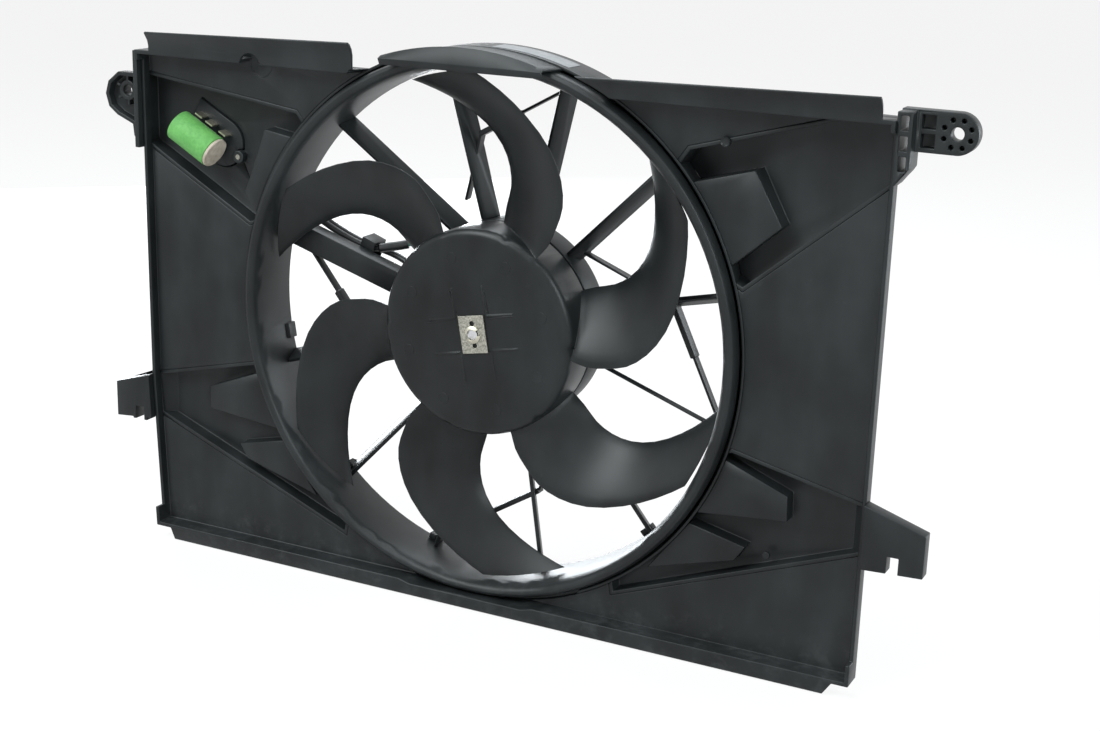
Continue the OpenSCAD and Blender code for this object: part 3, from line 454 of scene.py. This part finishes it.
# A blank strip of silvery film is stuck on the ring's outer wall near the top.
# It follows the wall's curve and carries no print.
FILM_R = 0.20678
FILM_WIDTH = 0.019
FILM_THICKNESS = 0.0002
bpy.ops.mesh.primitive_cylinder_add(vertices=360, radius=FILM_R, depth=FILM_WIDTH,
                                    end_fill_type="NOTHING", location=at(0, 30, 0),
                                    rotation=(math.radians(90), 0, 0))
label = started("blank_label")
pick(label, beyond(71.5, 89), "FACE")
bpy.ops.mesh.delete(type="FACE")
with_walls(label, FILM_THICKNESS, 0.00005)
label_film, shader, p = finish("label_film", Specular_IOR_Level=0.3)
feed(shader,
     Base_Color=p.noise(60, 4).step(0.3, 0.7).tint((0.17, 0.175, 0.18, 1), (0.23, 0.235, 0.24, 1)),
     Roughness=p.noise(200, 3) * 0.2 + 0.45, Normal=p.noise(300, 3).relief(0.15, 0.0002))
wear(label, label_film, "fan_ring")

# Eleven flat struts, an open channel for the wires and thin braces carry the motor in the middle
# of the ring. They end in the carrier, a drum with windows over the motor's three screws.
for name, width in (("stator_struts", 0.0006), ("motor_carrier", 0.0007)):
    wear(softened(name, width), shroud_plastic, name)

# The fan is one moulding in a smoother, glossier black plastic: a hub cup with twelve ribs
# inside and six sickle blades, pushed on the motor shaft.
fan_plastic = moulded_plastic("fan_plastic", 0.004, 0.0145, 0.26, 2000)
wear(softened("fan", 0.0005), fan_plastic, "fan")


# A pressed spring-steel clip locks the hub on the shaft. It is a plate with two small holes and
# a raised ring of tongues that bite on the shaft, left bare, speckled and a little yellow.
def bare_metal(name, colour, stained, rough):
    """Bare metal with fine scratches along it and dull stains."""
    made, shader, p = finish(name)
    scratch = p.noise(600, 4, 0.7, (1, 1, 9))
    stain = p.noise(120, 4, 0.6).step(0.45, 0.75)
    feed(shader, Base_Color=stain.tint(colour, stained), Metallic=1 - stain * 0.15,
         Roughness=rough + scratch * 0.18 + stain * 0.12, Normal=scratch.relief(0.25, 0.0002))
    return made


spring_steel = bare_metal("spring_steel", (0.5, 0.48, 0.4, 1), (0.36, 0.34, 0.27, 1), 0.3)
bright_steel = bare_metal("bright_steel", (0.58, 0.58, 0.6, 1), (0.42, 0.41, 0.4, 1), 0.24)
CLIP_TURN = math.radians(-10.5)
CLIP_Y = 7.7
CLIP_SIZE = (0.021, 0.0014, 0.028)
CLIP_HOLES = ((8.2, 1.9), (0, 4.1), (-8.2, 1.9))
bpy.ops.object.select_all(action="DESELECT")
bpy.ops.mesh.primitive_cube_add(size=1, location=at(0, CLIP_Y, 0), rotation=(0, CLIP_TURN, 0),
                                scale=CLIP_SIZE)
clip = started("clip_plate")
bpy.ops.object.mode_set(mode="OBJECT")
turned_up = Matrix.Rotation(CLIP_TURN, 3, "Y")
for along, hole in CLIP_HOLES:
    place = turned_up @ Vector((0.4, 0, along))
    bpy.ops.mesh.primitive_cylinder_add(vertices=24, radius=hole / 1000, depth=0.006,
                                        location=at(place.x, CLIP_Y, place.z),
                                        rotation=(math.radians(90), 0, 0))
    punch = bpy.context.object
    cut = clip.modifiers.new("punched", "BOOLEAN")
    cut.object = punch
    bpy.context.view_layer.objects.active = clip
    bpy.ops.object.modifier_apply(modifier=cut.name)
    bpy.data.objects.remove(punch)
rounded(clip, 0.00015)
worn_steel, shader, p = finish("clip_steel", Metallic=1.0)
speck = p.noise(900, 4, 0.7).step(0.35, 0.65)
feed(shader, Base_Color=speck.tint((0.2, 0.2, 0.17, 1), (0.42, 0.41, 0.36, 1)),
     Roughness=speck * 0.2 + 0.32, Normal=speck.relief(0.3, 0.0002))
wear(clip, worn_steel, "retaining_clip")
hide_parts("retaining_clip")
bpy.ops.object.select_all(action="DESELECT")
bpy.ops.mesh.primitive_cylinder_add(vertices=32, radius=0.0066, depth=0.0014, end_fill_type="NGON",
                                    location=at(0, 6.6, 0), rotation=(math.radians(90), 0, 0))
tongues = started("clip_tongues")
pick(tongues, lambda x, y, z: abs(y - 5.9) < 0.1, "FACE")
bpy.ops.mesh.inset(thickness=0.0025)
bpy.ops.mesh.delete(type="FACE")
pick(tongues, lambda x, y, z: y > 7.2 or abs(math.degrees(math.atan2(x, z)) % 180 - 65) < 22, "FACE")
bpy.ops.mesh.delete(type="FACE")
pick(tongues, lambda x, y, z: y < 6.2 and math.hypot(x, z) < 5)
bpy.ops.transform.translate(value=(0, -0.0012, 0))
with_walls(tongues, 0.0008, 0.0002)
wear(tongues, spring_steel, "retaining_clip")
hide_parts("retaining_clip")

# Low round marks on the hub's face show where the mould's pins pushed the fan out. They are part
# of the fan's own moulding, in the same plastic.
MARKS_R = 58
mark_turns = [math.radians(45 * k + 20) for k in range(8)]
mark_places = [(MARKS_R * math.cos(turn), MARKS_R * math.sin(turn)) for turn in mark_turns]
wear(round_marks("hub_marks", mark_places, 4.2, 8.6, 8.12, 0.2), fan_plastic, "fan")

# Eight fine raised lines stand crosswise round the clip on the hub's face. They too are part of
# the fan's moulding, in the same plastic.
RIDGES = [((-21.4, 30.0), (-14.7, 13.4)), ((7.1, 33.9), (11.6, 17.2)), ((-9.2, -20.0), (-6.7, -36.2)),
          ((15.0, -14.4), (18.9, -29.5)), ((-39.9, 2.8), (-16.0, 9.4)), ((10.9, 13.6), (32.0, 18.2)),
          ((-31.1, -20.2), (-12.7, -16.7)), ((15.6, -10.4), (34.1, -6.4))]
ridges = []
for start, end in RIDGES:
    run = Vector(end) - Vector(start)
    middle = (Vector(start) + Vector(end)) / 2
    bpy.ops.object.select_all(action="DESELECT")
    bpy.ops.mesh.primitive_cube_add(size=1, location=at(middle.x, 8.35, middle.y),
                                    rotation=(0, -math.atan2(run.y, run.x), 0),
                                    scale=(run.length / 1000, 0.0009, 0.0011))
    ridge = started("hub_ridges")
    pick(ridge, lambda x, y, z: y < 8, "FACE")
    bpy.ops.transform.resize(value=(0.93, 1, 0.93), center_override=at(middle.x, 8, middle.y))
    bpy.ops.object.mode_set(mode="OBJECT")
    ridges.append(ridge)
for ridge in ridges:
    ridge.select_set(True)
bpy.context.view_layer.objects.active = ridges[0]
bpy.ops.object.join()
rounded(ridges[0], 0.00015, 1)
wear(ridges[0], fan_plastic, "fan")
for name in ("motor_shaft", "armature_core", "front_bearing", "rear_bearing"):
    wear(nodes[name], bright_steel, name)


# The motor is a flat drawn can with a pressed end plate, both coated dark. Inside it an armature
# wound with copper turns between four ferrite magnets, and two brushes press on the commutator.
def coated_metal(name, dark, light, rough, metallic):
    """Sheet steel under a thin dark coat, slightly uneven, with small rubbed spots."""
    made, shader, p = finish(name, Specular_IOR_Level=0.4)
    cloud = p.noise(26, 5, 0.62)
    fine = p.noise(900, 3, 0.6)
    rub = p.noise(75, 6, 0.7).step(0.66, 0.8)
    colour = (rub * 0.3).tint(cloud.step(0.3, 0.7).tint(grey(dark), grey(light)), grey(light * 3))
    feed(shader, Base_Color=colour, Metallic=rub * 0.2 + metallic,
         Roughness=rough + cloud * 0.15 + fine * 0.08, Normal=fine.relief(0.2, 0.0003))
    return made


def dull(name, dark, light, rough, scale=300, depth=0.0004):
    """A dull solid material with a mottled colour and a rough skin."""
    made, shader, p = finish(name, Specular_IOR_Level=0.35)
    spots = p.noise(scale, 5, 0.65)
    broad = p.noise(scale / 8, 3, 0.5)
    feed(shader, Base_Color=(spots * 0.5 + broad * 0.5).step(0.35, 0.65).tint(dark, light),
         Roughness=rough + spots * 0.2, Normal=spots.relief(0.3, depth))
    return made


coated_steel = coated_metal("coated_steel", 0.016, 0.03, 0.38, 0.35)
copper = bare_metal("copper", (0.6, 0.27, 0.13, 1), (0.42, 0.18, 0.09, 1), 0.3)
ferrite = dull("ferrite", (0.02, 0.02, 0.022, 1), (0.04, 0.04, 0.042, 1), 0.6)
card = dull("card", (0.12, 0.08, 0.04, 1), (0.2, 0.14, 0.07, 1), 0.5)
for name, width in (("motor_end_plate", 0.0003), ("motor_flange", 0.0003), ("motor_can", 0.0003)):
    wear(softened(name, width), coated_steel, name)
wear(round_marks("bearing_pocket", [(0, 0)], 9.4, 88.1, 90.0, 1.7, 0.17), coated_steel, "motor_end_plate")
wear(round_marks("shaft_end_cap", [(0, 0)], 5.4, 88.2, 89.8, 0.5), coated_steel, "motor_end_plate")
for name, material in (("armature_windings", copper), ("commutator", copper), ("magnets", ferrite),
                       ("brushes", ferrite), ("brush_card", card)):
    wear(nodes[name], material, name)


# Three blackened steel screws hold the motor's collar on the carrier. Their round heads, each with
# a cross recess, lie in the carrier's windows.
def screw_heads(name, places, radius, y0, y1, material, node):
    """Round screw heads, modelled once, copied to each place and cut with a cross recess."""
    heads = round_marks(name, places, radius, y0, y1, 0.0)
    bpy.context.view_layer.objects.active = heads
    for x, z in places:
        for turn in (0, 90):
            bpy.ops.mesh.primitive_cube_add(size=1, location=at(x, y1, z),
                                            rotation=(0, math.radians(turn + 20), 0),
                                            scale=(radius * 0.00115, 0.0022, 0.0009))
            driver = bpy.context.object
            recess = heads.modifiers.new("recess", "BOOLEAN")
            recess.object = driver
            bpy.context.view_layer.objects.active = heads
            bpy.ops.object.modifier_apply(modifier=recess.name)
            bpy.data.objects.remove(driver)
    wear(heads, material, node)


SCREWS_R = 61
screw_turns = [math.radians(degrees) for degrees in (93, -27, -147)]
screw_places = [(SCREWS_R * math.cos(turn), SCREWS_R * math.sin(turn)) for turn in screw_turns]
screw_heads("motor_screw_heads", screw_places, 4.4, 66.4, 67.6, coated_steel, "motor_screws")
wear(nodes["motor_screws"], coated_steel, "motor_screws")

# The socket on the motor, the plug in it and the clip on the strut are small mouldings in a
# finer, slightly glossier black plastic.
connector_plastic = moulded_plastic("connector_plastic", 0.0065, 0.014, 0.3, 3200)
for name, width in (("motor_connector", 0.0006), ("harness_plug", 0.0006), ("strut_clip", 0.0003)):
    wear(softened(name, width), connector_plastic, name)

# The resistor unit drops the fan to its slow speed. A green ceramic tube lies in a cradle in the
# arm's opening, where the fan's air cools it, between tinned contact strips; its plastic base and
# rear socket are held by one screw.
green_ceramic = dull("green_ceramic", (0.07, 0.24, 0.055, 1), (0.12, 0.34, 0.085, 1), 0.52, 420, 0.0005)
bare_ceramic = dull("bare_ceramic", (0.3, 0.25, 0.2, 1), (0.46, 0.4, 0.33, 1), 0.6, 300, 0.0005)
tinned_brass = bare_metal("tinned_brass", (0.6, 0.57, 0.46, 1), (0.42, 0.38, 0.28, 1), 0.28)
for name, width, material in (("resistor_socket", 0.0007, connector_plastic),
                              ("resistor_base", 0.0006, connector_plastic),
                              ("resistor_body", 0.0008, green_ceramic),
                              ("resistor_end_cap", 0.0005, bare_ceramic)):
    wear(softened(name, width), material, name)
wear(nodes["resistor_terminals"], tinned_brass, "resistor_terminals")
wear(nodes["resistor_screw"], worn_steel, "resistor_screw")

# The vehicle's plug snaps into a latch frame on the socket's back wall. The frame is raised
# with a sunken middle, and is moulded with the socket.
LATCH_TURN = math.radians(29)
LATCH_MIDDLE = (-258.5, 62.6, 120.5)
bpy.ops.object.select_all(action="DESELECT")
bpy.ops.mesh.primitive_cube_add(size=1, location=at(*LATCH_MIDDLE),
                                rotation=(0, LATCH_TURN, 0), scale=(0.013, 0.0022, 0.0105))
latch = started("latch_frame")
pick(latch, lambda x, y, z: y > 63.5, "FACE")
bpy.ops.mesh.inset(thickness=0.0016)
bpy.ops.transform.translate(value=(0, -0.0018, 0))
bpy.ops.mesh.subdivide(number_cuts=2)
bpy.ops.object.mode_set(mode="OBJECT")
rounded(latch, 0.0003)
wear(latch, connector_plastic, "resistor_socket")

# The studio is a plain pale floor under an even white room, with large soft lamps round the fan.
# The camera sees the room as plain white, and on the floor a little of the fan's shadow stays.
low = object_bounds()[0]
bpy.ops.mesh.primitive_plane_add(size=60, location=(AXIS.x, AXIS.y, low[2] - 0.001))
floor = bpy.context.object
floor.name = "floor"
pale_floor, shader, p = finish("pale_floor")
feed(shader, Base_Color=p.noise(3, 2).tint((0.8, 0.8, 0.8, 1), (0.84, 0.84, 0.84, 1)),
     Roughness=p.noise(30) * 0.2 + 0.6)


def shows_white(tree, lit, target, share):
    """Shows plain white to the camera, to mirrors and through glass, and the lit surface to lamps."""
    rays = tree.nodes.new("ShaderNodeLightPath")
    seen = Field(tree, rays.outputs["Is Camera Ray"]) + Field(tree, rays.outputs["Is Glossy Ray"])
    seen = (seen + Field(tree, rays.outputs["Is Transmission Ray"])).step(0, 0.01) * share
    white = tree.nodes.new("ShaderNodeBackground" if target.bl_idname == "ShaderNodeOutputWorld"
                           else "ShaderNodeEmission")
    white.inputs["Color"].default_value = (1, 1, 1, 1)
    either = tree.nodes.new("ShaderNodeMixShader")
    tree.links.new(seen.socket, either.inputs[0])
    tree.links.new(lit, either.inputs[1])
    tree.links.new(white.outputs[0], either.inputs[2])
    tree.links.new(either.outputs[0], target.inputs[0])


shows_white(pale_floor.node_tree, shader.outputs[0], pale_floor.node_tree.nodes["Material Output"], 0.86)
floor.data.materials.append(pale_floor)
world = bpy.data.worlds.new("studio")
bpy.context.scene.world = world
world.use_nodes = True
room = world.node_tree.nodes["Background"]
room.inputs["Color"].default_value = (0.92, 0.96, 1.0, 1)
room.inputs["Strength"].default_value = 0.2
shows_white(world.node_tree, room.outputs[0], world.node_tree.nodes["World Output"], 1)


def softbox(name, place, size, power, colour=(1, 1, 1)):
    """A square studio lamp aimed at the fan."""
    lamp = bpy.data.lights.new(name, "AREA")
    lamp.size = size
    lamp.energy = power
    lamp.color = colour
    holder = bpy.data.objects.new(name, lamp)
    bpy.context.collection.objects.link(holder)
    holder.location = place
    holder.rotation_euler = (at(0, 20, 0) - place).to_track_quat("-Z", "Y").to_euler()


softbox("key_light", at(-900, -1500, 1500), 1.0, 46, (0.92, 0.98, 1.0))
softbox("top_light", at(-200, -700, 2100), 1.0, 22, (0.92, 0.98, 1.0))
softbox("side_light", at(1500, -900, 900), 0.8, 20, (0.88, 0.97, 1.0))
softbox("low_light", at(300, -1500, -200), 1.0, 2)
softbox("back_light", at(-700, 1000, 1700), 1.2, 30, (0.9, 0.96, 1.0))
softbox("back_sheen_light", at(1700, 1150, 150), 1.2, 40, (0.9, 0.96, 1.0))
softbox("back_side_light", at(-1200, 1300, -300), 1.0, 60, (0.9, 0.96, 1.0))
